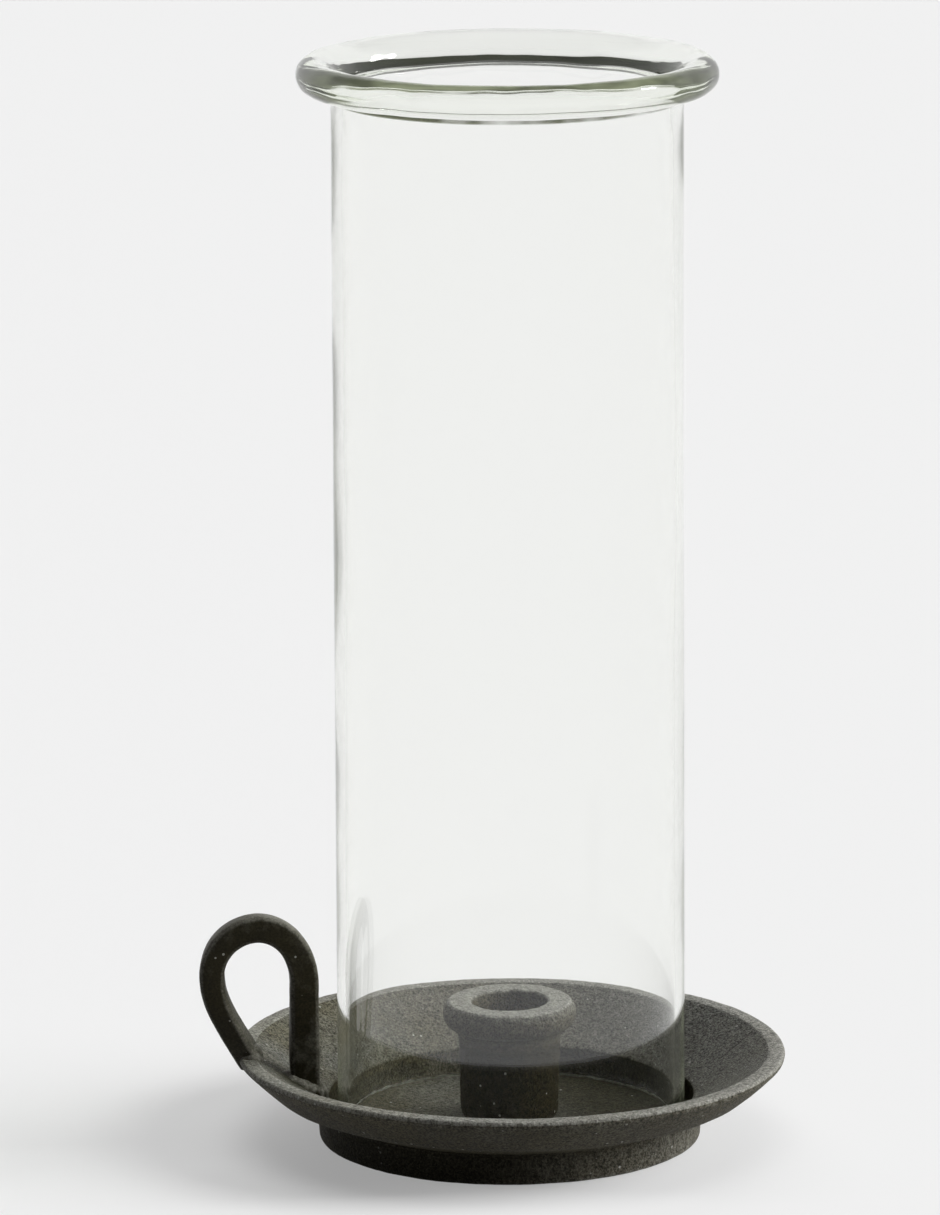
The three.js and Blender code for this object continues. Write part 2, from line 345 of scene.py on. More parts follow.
# 1 on the line from start to end and 0 beyond its half width
def nearLine(tree, across, along, start, end, width):
    length = math.dist(start, end)
    aheadX, aheadY = (end[0] - start[0]) / length, (end[1] - start[1]) / length
    fromX = maths(tree, "SUBTRACT", across, start[0] * mm)
    fromY = maths(tree, "SUBTRACT", along, start[1] * mm)
    travel = maths(tree, "ADD", times(tree, fromX, aheadX), times(tree, fromY, aheadY))
    aside = maths(tree, "SUBTRACT", times(tree, fromX, aheadY), times(tree, fromY, aheadX))
    past = maths(tree, "ABSOLUTE", maths(tree, "SUBTRACT", travel, length / 2 * mm))
    ends = rangeOf(tree, past, length / 2 * mm, (length / 2 + width) * mm, 1, 0)
    sides = rangeOf(tree, maths(tree, "ABSOLUTE", aside), 0.3 * width * mm, width * mm, 1, 0)
    return times(tree, ends, sides)


def makeIron(name, look, patches):
    finish, tree = startFinish(name)
    coordinate = addNode(tree, "ShaderNodeTexCoord")
    place = coordinate.outputs["Object"]
    across, along, _ = axes(tree, place)
    upward = axes(tree, coordinate.outputs["Normal"])[2]
    patch = noise(tree, place, patches["patch"], 5, 0.62)
    cast = noise(tree, place, look["cast"], 4, 0.62)
    sand = noise(tree, place, look["sand"], 2, 0.75)
    hollow = times(tree, rangeOf(tree, cells(tree, place, patches["hollows"]), 0.06, 0.16, 1, 0),
                   rangeOf(tree, noise(tree, place, patches["hollowGroups"], 2), 0.52, 0.66))

    # what faces up is lighter, with dust and with painted light from above; oil has browned it in places
    lightness = rangeOf(tree, upward, 0.0, 0.95)
    lightness = maths(tree, "ADD", lightness, rangeOf(tree, patch, 0.3, 0.7, -0.3, 0.3))
    lightness = maths(tree, "ADD", lightness, rangeOf(tree, cast, 0.3, 0.7, -0.2, 0.2))
    base = mixColour(tree, lightness, look["shade"], look["dustAndTopLight"])
    oily = times(tree, rangeOf(tree, noise(tree, place, patches["oil"], 4), 0.40, 0.62, 0.1, 0.9),
                 rangeOf(tree, across, *patches["brownSide"], 1.0, 0.25))
    base = mixColour(tree, oily, base, look["tint"])

    # worn edges, painted shade, grains, pits and bright flecks
    # worn edges, and painted light on the pan's foot and band
    wear = rangeOf(tree, attribute(tree, "edgeWearAndPaintedLight"), *look["wear"])
    rubbed = rangeOf(tree, maths(tree, "ADD", cast, sand), 0.35, 1.55)
    base = mixColour(tree, times(tree, wear, rubbed), base, look["worn"])
    paintedShade = times(tree, attribute(tree, "paintedShade"), patches["paintedShadeShare"])
    base = mixColour(tree, paintedShade, base, mixColour(tree, 1.0, base, look["paintedShade"], "MULTIPLY"))
    grains = maths(tree, "ADD", times(tree, sand, 0.75), times(tree, cast, 0.25))
    strength = rangeOf(tree, wear, 0.0, 1.0, 1.0, 0.4)  # rubbed places are smoother
    base = mixColour(tree, strength, base, rangeOf(tree, grains, 0.38, 0.62, *look["speckle"]), "MULTIPLY")
    base = mixColour(tree, times(tree, hollow, look["pits"]), base, look["pit"])
    marks = 0.0
    for start, end, width in look["marks"]:
        marks = maths(tree, "MAXIMUM", nearLine(tree, across, along, start, end, width), marks)
    base = mixColour(tree, times(tree, marks, patches["markShare"]), base, look["pit"])
    spot = rangeOf(tree, cells(tree, place, patches["flecks"]), 0.10, 0.13, 1, 0)
    cellColour = cells(tree, place, patches["flecks"], "Color")
    fleck = times(tree, spot, maths(tree, "GREATER_THAN", cellColour, patches["rareFleck"]))
    base = mixColour(tree, times(tree, fleck, patches["fleckShare"]), base, patches["fleckColour"])

    height = maths(tree, "ADD", times(tree, cast, look["castDepth"]), times(tree, sand, look["sandDepth"]))
    dug = maths(tree, "ADD", times(tree, hollow, patches["hollowDepth"] * look["pits"]),
                times(tree, marks, patches["markDepth"]))
    height = maths(tree, "SUBTRACT", height, dug)
    bump = addNode(tree, "ShaderNodeBump", {"Height": height, "Strength": 1.0, "Distance": mm})
    shader = addNode(tree, "ShaderNodeBsdfPrincipled", {
        "Base Color": base, "Roughness": rangeOf(tree, cast, 0.3, 0.7, *look["roughness"]), "Metallic": 0.0,
        # less gloss where the shade is painted
        "Specular IOR Level": rangeOf(tree, paintedShade, 0.0, 0.8, look["gloss"], patches["paintedShadeGloss"]),
        "Normal": bump.outputs["Normal"]})
    addNode(tree, "ShaderNodeOutputMaterial", {"Surface": shader.outputs["BSDF"]})
    return finish


glassLook = {
    "ior": 1.53,
    "tint": (0.84, 0.90, 0.74, 1),
    "density": 20.0,
    "shadow": (0.96, 0.965, 0.96, 1),  # what each face lets through to the pieces behind it
    "ground": 5.75,  # height up to which the foot is ground rough
    "groundRough": 0.45,
    "chips": 0.8,  # how far the ground edge runs up and down
    "paintedGlowColour": (0.90, 0.95, 0.70, 1),  # painted glow: an emission of this colour stands in for the light lost inside the thick rim
    "paintedGlowShare": 0.14,
    "lostDepth": 4.5,  # turns that a ray makes inside before its light counts as lost
    "crease": (313.1, 314.4),  # fold under the rolled rim
    "creaseEnd": 0.3,
    "paintedCreaseShade": (0.10, 0.11, 0.06, 1),
    "farTop": 300,  # height below which the far wall mirrors faintly
    "farMirror": (0.15, 0.15, 0.15, 1),
}


def makeGlass(name, look):
    finish, tree = startFinish(name)
    place = addNode(tree, "ShaderNodeTexCoord").outputs["Object"]
    _, along, height = axes(tree, place)
    path = addNode(tree, "ShaderNodeLightPath").outputs

    chipped = maths(tree, "ADD", height, times(tree, noise(tree, place, 260, 3), -look["chips"] * mm))
    edge = look["ground"] * mm
    rough = rangeOf(tree, chipped, edge - 0.5 * mm, edge - 0.3 * mm, look["groundRough"], 0.0)

    low, high = look["crease"]
    # painted shade: a dark line along the fold under the rolled rim
    crease = times(tree, rangeOf(tree, height, (low - look["creaseEnd"]) * mm, low * mm),
                   rangeOf(tree, height, high * mm, (high + look["creaseEnd"]) * mm, 1, 0))
    crease = times(tree, crease, rangeOf(tree, noise(tree, place, 26, 3), 0.40, 0.52))
    crease = times(tree, crease, rangeOf(tree, along, 0.0, 0.01, 1, 0))  # painted dark line, only in front

    # painted glow where a ray has turned more than lostDepth times inside the glass
    streaky = rangeOf(tree, noise(tree, place, 55, 2), 0.40, 0.56, 0.45, 1.1)
    paintedGlow = times(tree, maths(tree, "GREATER_THAN", path["Ray Depth"], look["lostDepth"]), streaky)
    paintedGlow = times(tree, paintedGlow, rangeOf(tree, along, -0.02, 0.03, 1.15, 0.15))  # the painted glow is stronger in front

    # seen through the near wall, the far one mirrors the dish only faintly
    far = times(tree, maths(tree, "GREATER_THAN", path["Transmission Depth"], 1.5),
                maths(tree, "LESS_THAN", height, look["farTop"] * mm))
    clean = (1, 1, 1, 1)
    shader = addNode(tree, "ShaderNodeBsdfPrincipled", {
        "Base Color": mixColour(tree, crease, clean, look["paintedCreaseShade"]), "Roughness": rough,
        "IOR": look["ior"], "Transmission Weight": 1.0,
        "Specular Tint": mixColour(tree, far, clean, look["farMirror"]),
        "Emission Color": look["paintedGlowColour"], "Emission Strength": times(tree, paintedGlow, look["paintedGlowShare"])})
    clear = addNode(tree, "ShaderNodeBsdfTransparent", {"Color": look["shadow"]}).outputs["BSDF"]
    surface = shader.outputs["BSDF"]
    for ray in ("Is Diffuse Ray", "Is Shadow Ray"):
        mixed = addNode(tree, "ShaderNodeMixShader", {0: path[ray], 1: surface, 2: clear})
        surface = mixed.outputs["Shader"]
    body = addNode(tree, "ShaderNodeVolumeAbsorption", {"Color": look["tint"], "Density": look["density"]})
    addNode(tree, "ShaderNodeOutputMaterial", {"Surface": surface, "Volume": body.outputs["Volume"]})
    return finish


def makeFelt(name):
    finish, tree = startFinish(name)
    place = addNode(tree, "ShaderNodeTexCoord").outputs["Object"]
    fibre = noise(tree, place, 900, 6, 0.75)
    tuft = noise(tree, place, 120, 3, 0.6)
    base = mixColour(tree, rangeOf(tree, fibre, 0.3, 0.7), (0.018, 0.017, 0.015, 1), (0.06, 0.057, 0.052, 1))
    base = mixColour(tree, rangeOf(tree, tuft, 0.4, 0.8, 0, 0.4), base, (0.085, 0.08, 0.072, 1))
    bump = addNode(tree, "ShaderNodeBump", {"Height": fibre, "Strength": 0.9, "Distance": 0.3 * mm})
    shader = addNode(tree, "ShaderNodeBsdfPrincipled", {
        "Base Color": base, "Roughness": 0.95, "Normal": bump.outputs["Normal"],
        "Specular IOR Level": 0.2, "Sheen Weight": 0.3, "Sheen Roughness": 0.5})
    addNode(tree, "ShaderNodeOutputMaterial", {"Surface": shader.outputs["BSDF"]})
    return finish


def makeSteel(name):
    finish, tree = startFinish(name)
    place = addNode(tree, "ShaderNodeTexCoord").outputs["Object"]
    streak = noise(tree, place, 700, 4, 0.7)
    base = mixColour(tree, streak, (0.34, 0.34, 0.33, 1), (0.52, 0.52, 0.5, 1))
    bump = addNode(tree, "ShaderNodeBump", {"Height": streak, "Strength": 0.4, "Distance": 0.1 * mm})
    shader = addNode(tree, "ShaderNodeBsdfPrincipled", {
        "Base Color": base, "Metallic": 1.0, "Roughness": rangeOf(tree, streak, 0.2, 0.8, 0.25, 0.45),
        "Normal": bump.outputs["Normal"]})
    addNode(tree, "ShaderNodeOutputMaterial", {"Surface": shader.outputs["BSDF"]})
    return finish


finishes = {
    "iron": makeIron("castIron", ironLooks["castIron"], ironPatches),
    "bar": makeIron("barIron", ironLooks["barIron"], ironPatches),
    "glass": makeGlass("clearGlass", glassLook),
    "felt": makeFelt("woolFelt"),
    "steel": makeSteel("turnedSteel"),
}
print("finishes mixed")


def dress(piece, body, node, finish):
    piece.data.materials.clear()
    piece.data.materials.append(finish)
    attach(piece, body)
    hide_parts(node)


# Pan
pan = {
    "steps": 208,
    "finest": 3.4,  # longest step of the section
    "pad": (48.5, 1.8),  # recess for the felt
    "hole": 2.8,
    "sink": (5.2, 1.8),
    "floor": 4.8,
    "well": (54.4, 12.8),
    "rimInner": (77.1, 26.7),
    "rimOuter": (81.8, 26.7),
    "rimEdge": (81.8, 24.9),
    "bulge": 0.5,  # how far the outer band bows out
    "knee": (70.6, 14.8),
    "footTop": (57.2, 9.95),
    "foot": (56.4, 0.3),
    "roundings": (1.5, 0.8, 0.9, 0.9, 0.85, 5, 0.8, 1.3, 0.8, 0.2, 0.2, 0.2),  # from the well out and under
    "footZone": (52, 9.9),  # what lies beyond this radius and below this height is the foot
    "footShift": -0.45,  # the foot isn't quite under the middle
    "footStretch": 1.008,
    "lean": 0.3,  # degrees, the casting's warp, spread over three rings
    "leanRings": (58, 66, 74),
    "leanCentre": 20,
    "unevenness": 0.35,
    "dents": 0.18,
    "sand": 0.10,
}
# How much lighter the pan is made beyond a radius, above or below a height: wear on the lip, painted light
# on the foot and the outer band
panWearAndLight = {"lip": (76.8, 25.5, 0.62), "foot": (52, 10.2, 0.30), "band": (70, 25.5, 0.14)}


def selectBeyond(piece, radius, below=100):
    selectWhere(piece, lambda point: math.hypot(point.x, point.y) > radius * mm and point.z < below * mm)


def panWornAndLit(radius, height):
    lip, foot, band = panWearAndLight["lip"], panWearAndLight["foot"], panWearAndLight["band"]
    if radius > lip[0] and height > lip[1]:
        return lip[2]
    if radius > foot[0] and height < foot[1]:
        return foot[2]
    return band[2] if radius > band[0] and height < band[1] else 0.0


def panPaintedShade(x, y, z):
    if math.hypot(x, y) < pan["well"][0] + 0.2 and z > 4:
        return 0.85 + min(max(x / 40, -0.45), 0.7)  # painted shade in the well, darker away from the handle, where the well's wall keeps the key lamp off
    if z < 10.2:
        return min(max(0.9 - x / 45, 0), 1.1)  # painted shade on the foot, darker on the handle's side, away from the key lamp
    nearFoot = math.dist((x / 1.25, y + 4), (-53, 0))
    nearTip = math.dist((x, y), (-78, 0))
    handleShade = max((15 - nearFoot) / 9, (7.5 - nearTip) / 5)  # painted shade and shadow of the handle around its two welds
    return min(max(handleShade, 0), 1.6)


def buildPan(p):
    padRadius, padTop = p["pad"]
    wellRadius = p["well"][0]
    edge, knee, sink, hole = p["rimEdge"], p["knee"], p["sink"], p["hole"]
    away = Vector((edge[1] - knee[1], knee[0] - edge[0])).normalized() * p["bulge"]
    middle = ((edge[0] + knee[0]) / 2 + away.x, (edge[1] + knee[1]) / 2 + away.y)
    corners = [(hole, p["floor"]), (wellRadius, p["floor"]), p["well"], p["rimInner"], p["rimOuter"], edge,
               middle, knee, p["footTop"], p["foot"], (padRadius, p["foot"][1]), (padRadius, padTop), sink,
               (hole, sink[1] + sink[0] - hole)]
    piece = drawSection("pan_casting", corners)
    closeSection(piece, corners[0], corners[-1])
    roundSpots(piece, corners[1:-1], p["roundings"])
    cutFiner(piece, p["finest"])
    spinRound(piece, p["steps"])
    bpy.ops.object.mode_set(mode="EDIT")
    selectBeyond(piece, *p["footZone"])
    bpy.ops.transform.translate(value=(p["footShift"] * mm, 0, 0))
    bpy.ops.transform.resize(value=(p["footStretch"], 1, 1), center_override=(0, 0, 0))
    for ring in p["leanRings"]:
        selectBeyond(piece, ring)
        bpy.ops.transform.rotate(value=-math.radians(p["lean"] / 3), orient_axis="Y",
                                 center_override=(0, 0, p["leanCentre"] * mm))
    bpy.ops.object.mode_set(mode="OBJECT")
    smoothOut(piece)
    markWornEdges(piece, 1, panWornAndLit)
    markPaintedShade(piece, panPaintedShade)
    roughen(piece, "panUnevenness", 38, p["unevenness"])
    roughen(piece, "panDents", 7, p["dents"])
    roughen(piece, "panSand", 1.6, p["sand"])
    return piece


panPiece = buildPan(pan)
dress(panPiece, "holder", "pan", finishes["iron"])
print("pan cast:", len(panPiece.data.polygons), "faces")


# Candle cup
cup = {
    "steps": 288,
    "finest": 1.1,
    "foot": 4.8,
    "top": 41.6,
    "rimEdge": 17.8,  # where the flat top ends
    "bead": (15.5, 37.8),  # middle of the collar's round side
    "beadSize": (4.25, 4.65),
    "beadTurn": (54, -74),  # degrees, from the flat top to the neck
    "beadSteps": 22,
    "neck": (15.1, 31.6),
    "tubeFoot": 14.5,
    "aside": -0.35,  # stands a little off the middle
    "hole": 11.3,
    "holeDepth": 24,
    "tap": (2.8, 13.3),
    "roundings": (1.5, 0.9, 0.6, 1.9, 4.2, 0.2, 0.2),  # hole, top, neck, foot, tapped hole
    "wear": (0.95, 0.1, -0.2),  # on the flat top, the collar and the tube
    # painted shade sets in below this height
    "collarFoot": 31,
    "paintedShadeTop": 31.5,
    "unevenness": 0.35,
    "dents": 0.26,
    "sand": 0.24,
}


def cupHandled(radius, height):
    top, collar, tube = cup["wear"]
    if height > cup["top"] - 0.4:
        return top
    return collar if height > cup["collarFoot"] else tube


def buildCup(c):
    floor = c["top"] - c["holeDepth"]
    tapRadius, tapTop = c["tap"]
    corners = [(0, floor), (c["hole"], floor), (c["hole"], c["top"]), (c["rimEdge"], c["top"])]
    corners += arc(c["bead"], c["beadSize"], *c["beadTurn"], c["beadSteps"])
    corners += [c["neck"], (c["tubeFoot"], c["foot"]), (tapRadius, c["foot"])]
    corners += [(tapRadius, tapTop), (0, tapTop)]
    piece = drawSection("cup_casting", corners)
    roundSpots(piece, corners[1:4] + corners[-5:-1], c["roundings"], 6)
    cutFiner(piece, c["finest"])
    spinRound(piece, c["steps"])
    bpy.ops.object.mode_set(mode="EDIT")
    selectBeyond(piece, 5)
    bpy.ops.transform.translate(value=(c["aside"] * mm, 0, 0))
    bpy.ops.object.mode_set(mode="OBJECT")
    markWornEdges(piece, 2, cupHandled)
    # painted shade on the tube, under the collar
    markPaintedShade(piece, lambda x, y, z: min(max((c["paintedShadeTop"] - z) / 2, 0), 1.5))
    roughen(piece, "cupUnevenness", 14, c["unevenness"])
    roughen(piece, "cupDents", 3.4, c["dents"])
    roughen(piece, "cupSand", 1.2, c["sand"])
    return piece


cupPiece = buildCup(cup)
dress(cupPiece, "holder", "candle_cup", finishes["iron"])
print("cup cast:", len(cupPiece.data.polygons), "faces")


# Handle: a straight flat bar, twisted a little near its tip, then bent along its line
handle = {
    "across": 6.5,
    "rounding": 1.7,
    "steps": 96,
    "lineSteps": 24,  # in the leg, each half of the bow and the outer leg
    "leg": 62.0,  # distance of the inner leg from the axis
    "footEnd": 13.0,
    "bowTop": 66.3,
    "bowRadius": 13.7,
    "innerDrop": 17.0,
    "ease": 9.0,
    "landing": (78.65, 26.7),
    "lean": 29,
    "run": 12.0,
    "bury": 2.5,
    "thickFoot": 9.2,
    "thickBow": 8.2,
    "thickTip": 6.8,
    "twist": 24,  # degrees, over the last part before the rim
    "twistFrom": 0.62,
    "twistTo": 0.93,
    "forging": 0.5,
    "hammer": 0.2,
}


# The bar's middle line, as distance from the axis and height
def handleLine(h):
    leg, bowRadius, bowTop, steps = h["leg"], h["bowRadius"], h["bowTop"], h["lineSteps"]
    centre = leg + bowRadius
    innerTop = bowTop - h["innerDrop"]
    points = [(leg, h["footEnd"] + (innerTop - h["footEnd"]) * i / steps) for i in range(steps)]
    points += arc((centre, innerTop), (bowRadius, h["innerDrop"]), 180, 90, steps)
    points += arc((centre, bowTop - bowRadius), (bowRadius, bowRadius), 90, 0, steps)[1:]
    lean = math.radians(h["lean"])
    landing = Vector(h["landing"])
    downhill = Vector((-math.sin(lean), -math.cos(lean)))
    outer = Vector(points[-1])
    controls = (outer, outer - Vector((0, h["ease"])), landing - downhill * h["run"], landing)
    for i in range(1, steps + 1):
        t = i / steps
        shares = ((1 - t) ** 3, 3 * t * (1 - t) ** 2, 3 * t * t * (1 - t), t ** 3)
        points.append(tuple(sum((c * share for c, share in zip(controls, shares)), Vector((0, 0)))))
    points.append(tuple(landing + downhill * h["bury"]))
    return points


def drawLine(points):
    bpy.ops.object.select_all(action="DESELECT")
    bpy.ops.curve.primitive_nurbs_path_add(location=(0, 0, 0))
    line = bpy.context.object
    line.data.splines.clear()
    line.data.dimensions = "3D"
    line.data.twist_mode = "MINIMUM"
    spline = line.data.splines.new("POLY")
    spline.points.add(len(points) - 1)
    for point, (radius, height) in zip(spline.points, points):
        point.co = (-radius * mm, 0, height * mm, 1)
    return line


def barThickness(h, at, bowShare):
    if at < bowShare:
        return h["thickFoot"] + (h["thickBow"] - h["thickFoot"]) * at / bowShare
    return h["thickBow"] + (h["thickTip"] - h["thickBow"]) * (at - bowShare) / (1 - bowShare)


def buildHandle(h):
    points = handleLine(h)
    lengths = [math.dist(a, b) for a, b in zip(points, points[1:])]
    total = sum(lengths)
    bowShare = sum(lengths[:2 * h["lineSteps"]]) / total  # of the bar up to the top of its bow
    bpy.ops.object.select_all(action="DESELECT")
    bpy.ops.mesh.primitive_plane_add(size=1, location=(0, 0, 0))
    thick = h["thickFoot"]
    bpy.context.object.scale = (thick * mm, h["across"] * mm, 1)
    piece = startPiece("handle_bar")
    bpy.ops.mesh.bevel(offset=h["rounding"] * mm, segments=3, profile=0.5, affect="VERTICES")
    turned = 0
    for i in range(1, h["steps"] + 1):
        at = i / h["steps"]
        height = (0, 0, total * at * mm)
        bpy.ops.mesh.extrude_region_move(TRANSFORM_OT_translate={"value": (0, 0, total / h["steps"] * mm)})
        goal = barThickness(h, at, bowShare)
        bpy.ops.transform.rotate(value=math.radians(turned), orient_axis="Z", center_override=height)
        bpy.ops.transform.resize(value=(goal / thick, 1, 1), center_override=height)
        late = min(max((at - h["twistFrom"]) / (h["twistTo"] - h["twistFrom"]), 0), 1)
        turned = h["twist"] * late * late * (3 - 2 * late)
        bpy.ops.transform.rotate(value=math.radians(-turned), orient_axis="Z", center_override=height)
        thick = goal
    finishMesh(piece)
    line = drawLine(points)
    applyModifier(piece, "CURVE", object=line, deform_axis="POS_Z")
    bpy.data.objects.remove(line)
    smoothOut(piece, 2)
    markWornEdges(piece, 2)
    roughen(piece, "handleForging", 15, h["forging"])
    roughen(piece, "handleHammer", 5, h["hammer"])
    return piece


handlePiece = buildHandle(handle)
dress(handlePiece, "holder", "handle", finishes["bar"])
print("handle forged:", len(handlePiece.data.polygons), "faces")


# Welds: short runs of overlapping ripples, melted into one bead.
# A ripple is its distance from the axis, its place across, its height and its radius.
welds = {
    "foot": {
        "name": "foot_weld_bead",
        "node": "handle_foot_weld",
        # painted shade on the weld at the leg's foot, in the handle's shadow
        "paintedShade": 1.2,
        "ripples": [
            (67.4, 0, 20.2, 2.2), (65.6, 2.3, 19.3, 2.3), (63.9, 2.7, 18.4, 2.3),
            (62.1, 2.8, 17.4, 2.3), (60.2, 2.7, 16.4, 2.3), (58.3, 2.1, 15.4, 2.3),
            (57.2, 0.8, 14.9, 2.3), (57.2, -0.8, 14.8, 2.3), (58.4, -2.2, 15.3, 2.3),
            (60.3, -2.8, 16.2, 2.3), (62.2, -2.9, 17.2, 2.3), (64.0, -2.8, 18.2, 2.3),
            (65.7, -2.4, 19.2, 2.3), (62.4, 0, 17.6, 4.0), (60.0, 0, 16.8, 3.6),
            (65.0, 0, 19.4, 3.4),
        ],
    },
    "rim": {
        "name": "rim_weld_bead",
        "node": "handle_rim_weld",
        "paintedShade": 0.0,
        "ripples": [
            (76.6, 1.4, 26.4, 2.0), (76.4, -1.4, 26.3, 2.0), (77.4, 2.6, 26.7, 2.1),
            (77.2, -2.7, 26.6, 2.1), (78.6, 2.8, 26.7, 2.1), (78.4, -3.0, 26.6, 2.1),
            (79.7, 2.2, 26.5, 2.0), (79.7, -2.4, 26.4, 2.0), (78.0, 0, 27.8, 3.4),
            (77.2, 0, 27.2, 3.0), (79.4, 0, 26.9, 2.7),
        ],
    },
}
weldCommon = {"voxel": 0.32, "flow": 24, "lump": 0.45, "lumpSize": 4.0, "spatter": 0.16}


def addRipple(radius, across, height, size):
    bpy.ops.mesh.primitive_uv_sphere_add(segments=24, ring_count=12, radius=size * mm,
                                         location=(-radius * mm, across * mm, height * mm))


def buildWeld(w, common):
    bpy.ops.object.select_all(action="DESELECT")
    addRipple(*w["ripples"][0])
    piece = startPiece(w["name"])
    for ripple in w["ripples"][1:]:
        addRipple(*ripple)
    bpy.ops.object.mode_set(mode="OBJECT")
    applyModifier(piece, "REMESH", mode="VOXEL", voxel_size=common["voxel"] * mm)
    applyModifier(piece, "SMOOTH", factor=0.5, iterations=common["flow"])
    roughen(piece, w["name"] + "Lumps", common["lumpSize"], common["lump"])
    markWornEdges(piece, 3)
    markPaintedShade(piece, lambda x, y, z: w["paintedShade"])
    roughen(piece, w["name"] + "Spatter", 1.1, common["spatter"])
    shadeSmooth(piece)
    return piece


for weld in welds.values():
    weldPiece = buildWeld(weld, weldCommon)
    dress(weldPiece, "holder", weld["node"], finishes["bar"])
    print(weldPiece.name, "laid:", len(weldPiece.data.polygons), "faces")


# Glass chimney
chimney = {
    "steps": 256,
    "finest": 5.0,
    "foot": 5.1,
    "outer": 51.9,
    "wall": 3.0,
    "draft": 0.5,
    "top": 325.0,
    "edge": 0.8,  # rounding of the foot
    "roll": 5.0,
    "rollProud": 9.7,
    "neck": 2.0,
    "flare": 6.0,
    "wave": 0.30,
    "rimWave": 0.55,
    "rimZone": (305, 318),  # the rim's waves set in between these heights
    "grinding": 0.5,
    "groundZone": (8, 5),
}


# A vertex group that grows from none at one height to all at the other
def markHeights(piece, name, low, high):
    group = piece.vertex_groups.new(name=name)
    for vert in piece.data.vertices:
        share = (vert.co.z / mm - low) / (high - low)
        if share > 0:
            group.add([vert.index], min(share, 1), "REPLACE")


def buildChimney(g):
    outer, roll, neckRound = g["outer"], g["roll"], g["neck"]
    tube = outer - g["draft"]  # outside radius at the top
    inner = tube - g["wall"]
    rollAt = (outer + g["rollProud"] - roll, g["top"] - roll)
    neckAt = tube + neckRound
    drop = math.sqrt((roll + neckRound) ** 2 - (rollAt[0] - neckAt) ** 2)
    meet = math.degrees(math.atan2(drop, rollAt[0] - neckAt))  # where the neck runs into the roll
    flareAt = (rollAt[0], rollAt[1] - g["flare"])
    footEdges = [(outer - g["wall"], g["foot"]), (outer, g["foot"])]
    corners = footEdges + arc((neckAt, rollAt[1] - drop), (neckRound, neckRound), 180, meet, 6)
    corners += arc(rollAt, (roll, roll), meet - 180, 90, 30)[1:]
    corners += arc(flareAt, (rollAt[0] - inner, roll + g["flare"]), 90, 180, 18)[1:]
    piece = drawSection("chimney_glass", corners)
    closeSection(piece, corners[0], corners[-1])
    roundSpots(piece, footEdges, (g["edge"], g["edge"]))
    cutFiner(piece, g["finest"])
    spinRound(piece, g["steps"])
    markHeights(piece, "rim", *g["rimZone"])
    markHeights(piece, "foot", *g["groundZone"])
    roughen(piece, "glassWave", 70, g["wave"], 1)
    roughen(piece, "glassRim", 16, g["rimWave"], 1, group="rim")
    roughen(piece, "glassGrinding", 1.3, g["grinding"], 2, 0.8, group="foot")
    return piece


chimneyPiece = buildChimney(chimney)
dress(chimneyPiece, "chimney", "glass_chimney", finishes["glass"])
print("glass blown:", len(chimneyPiece.data.polygons), "faces")


# Felt under the foot, and the screw above it
felt = {
    "radius": 48.0,
    "under": 0.08,  # clear of the floor, for the fibres
    "over": 1.72,
    "roundings": (0.5, 0.4),
    "steps": 160,
    "finest": 2.5,
    "nap": 0.12,
}


def buildFelt(f):
    corners = [(0, f["under"]), (f["radius"], f["under"]), (f["radius"], f["over"]), (0, f["over"])]
    piece = drawSection("felt_disc", corners)
    roundSpots(piece, corners[1:3], f["roundings"])
    cutFiner(piece, f["finest"])
    spinRound(piece, f["steps"])
    roughen(piece, "feltNap", 2.2, f["nap"])
    return piece


feltPiece = buildFelt(felt)
dress(feltPiece, "holder", "base_pad", finishes["felt"])
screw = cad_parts["cup_screw"]
screw.data.materials.clear()
screw.data.materials.append(finishes["steel"])
print("felt cut, screw plated")


# Studio
studio = {
    "white": 0.88,
    "glow": 0.37,  # share of the floor's white that no shadow takes away
    "glowRight": 0.24,  # more of it on the lamp's side, a painted pool of light
    "rightSpan": (0.0, 0.07),  # metres from the axis, over which it sets in
    "glowFront": 0.38,  # and in front of the foot, painting the shadow there lighter
    "frontSpan": (-0.058, -0.085),
    "bounce": 0.30,  # how much of the light the floor throws back on the object
    "key": {"strength": 3.6, "angle": 46, "azimuth": 84, "height": 24},
    "back": {"strength": 1.25, "angle": 50, "azimuth": 180, "height": 32},
    "top": {"strength": 0.76, "angle": 42, "azimuth": 0, "height": 88},
    "bare": {"strength": 0.35, "angle": 10, "azimuth": 84, "height": 30},  # small bare lamp, for the glints
    "ambient": 0.02,
    "ceiling": 0.10,
    "ceilingFrom": (30, 42),  # degrees above level, where the white turns into it
    "room": 0.60,  # the darker room behind the camera, as glass and gloss show it
}


def sunLight(name, light):
    turn, height = math.radians(light["azimuth"]), math.radians(light["height"])
    level = math.cos(height)
    towards = Vector((math.sin(turn) * level, -math.cos(turn) * level, math.sin(height)))
    bpy.ops.object.light_add(type="SUN", location=towards * 3)
    lamp = bpy.context.object
    lamp.name = name
    lamp.rotation_euler = towards.to_track_quat("Z", "Y").to_euler()
    lamp.data.energy = light["strength"]
    lamp.data.angle = math.radians(light["angle"])
    return lamp


def grey(level):
    return (level, level, level, 1)


# 1 for the camera, mirrors and glass, 0 for the light that falls on the pieces
def seenDirectly(tree):
    path = addNode(tree, "ShaderNodeLightPath").outputs
    shown = maths(tree, "MAXIMUM", path["Is Glossy Ray"], path["Is Transmission Ray"])
    return maths(tree, "MAXIMUM", path["Is Camera Ray"], shown)


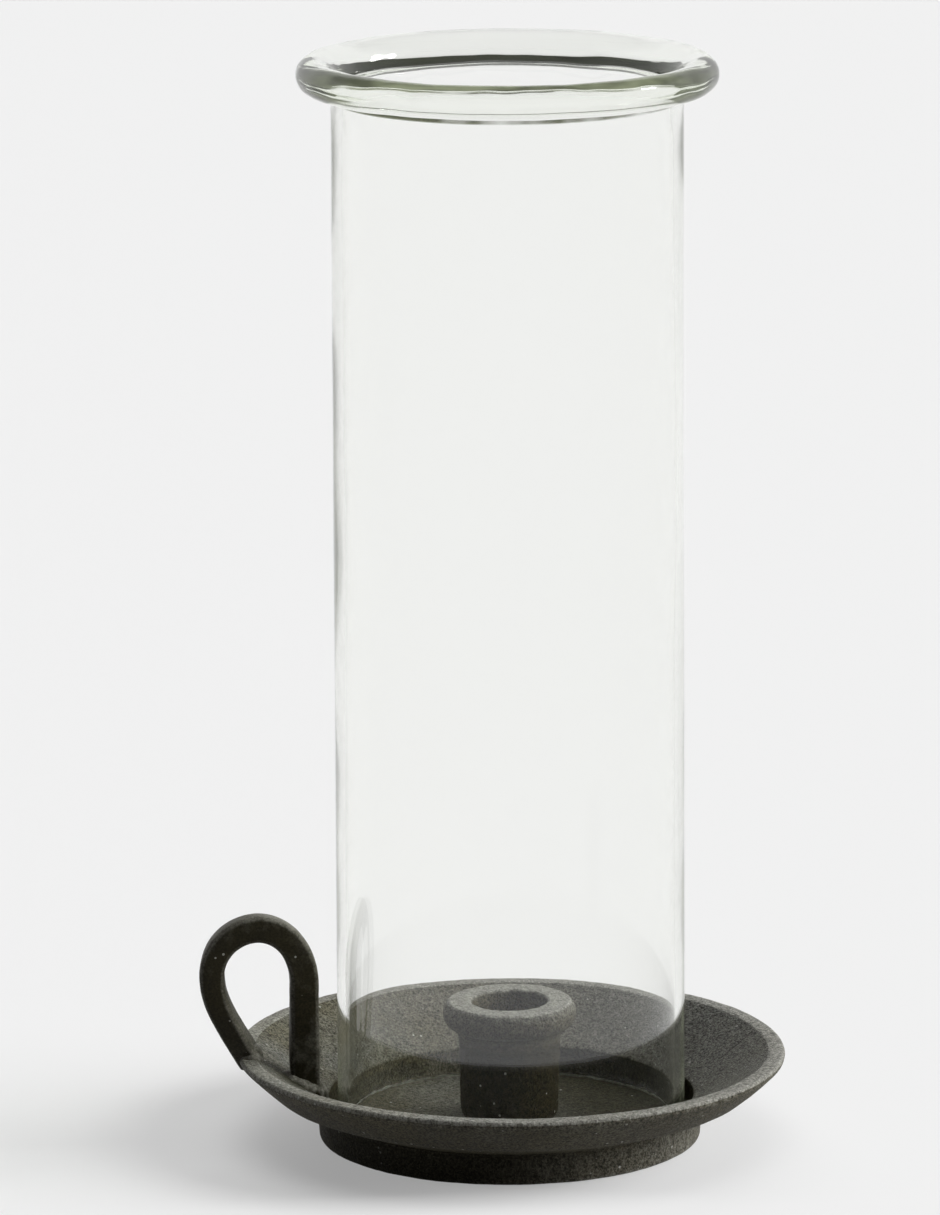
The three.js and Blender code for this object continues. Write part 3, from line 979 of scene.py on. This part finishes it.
def buildFloor(s):
    bpy.ops.object.select_all(action="DESELECT")
    bpy.ops.mesh.primitive_plane_add(size=16, location=(0, 0, 0))
    floor = bpy.context.object
    floor.name = "floor"
    finish, tree = startFinish("paleFloor")
    seen = seenDirectly(tree)
    white = grey(s["white"])
    colour = mixColour(tree, seen, grey(s["bounce"]), white)
    matte = addNode(tree, "ShaderNodeBsdfDiffuse", {"Color": colour}).outputs["BSDF"]
    glow = addNode(tree, "ShaderNodeEmission", {"Color": white, "Strength": 1.0}).outputs["Emission"]
    across, along, _ = axes(tree, addNode(tree, "ShaderNodeTexCoord").outputs["Object"])
    # painted light: the floor glows more on the lamp's side and in front of the foot, where it lightens the
    # shadow
    more = maths(tree, "MAXIMUM", rangeOf(tree, across, *s["rightSpan"], 0, s["glowRight"]),
                 rangeOf(tree, along, *s["frontSpan"], 0, s["glowFront"]))
    share = times(tree, seen, maths(tree, "ADD", more, s["glow"]))
    mixed = addNode(tree, "ShaderNodeMixShader", {0: share, 1: matte, 2: glow})
    addNode(tree, "ShaderNodeOutputMaterial", {"Surface": mixed.outputs["Shader"]})
    floor.data.materials.append(finish)


def buildWorld(s):
    world = bpy.data.worlds.new("studioWorld")
    bpy.context.scene.world = world
    world.use_nodes = True
    tree = world.node_tree
    tree.nodes.clear()
    _, away, up = axes(tree, addNode(tree, "ShaderNodeTexCoord").outputs["Generated"])
    white = grey(s["white"])
    behind = times(tree, rangeOf(tree, away, -0.1, -0.5), rangeOf(tree, up, 0.02, 0.12))
    shown = mixColour(tree, behind, white, grey(s["room"]))
    low, high = (math.sin(math.radians(turn)) for turn in s["ceilingFrom"])
    shown = mixColour(tree, rangeOf(tree, up, low, high), shown, grey(s["ceiling"]))
    camera = addNode(tree, "ShaderNodeLightPath").outputs["Is Camera Ray"]
    shown = mixColour(tree, camera, shown, white)
    colour = mixColour(tree, seenDirectly(tree), grey(s["ambient"]), shown)
    background = addNode(tree, "ShaderNodeBackground", {"Color": colour, "Strength": 1.0})
    addNode(tree, "ShaderNodeOutputWorld", {"Surface": background.outputs["Background"]})


for role in ("key", "back", "top", "bare"):
    lamp = sunLight(role + "Light", studio[role])
    lamp.visible_glossy = lamp.visible_transmission = role == "bare"
buildFloor(studio)
buildWorld(studio)
bpy.context.scene.view_settings.view_transform = "Standard"
print("studio lit")
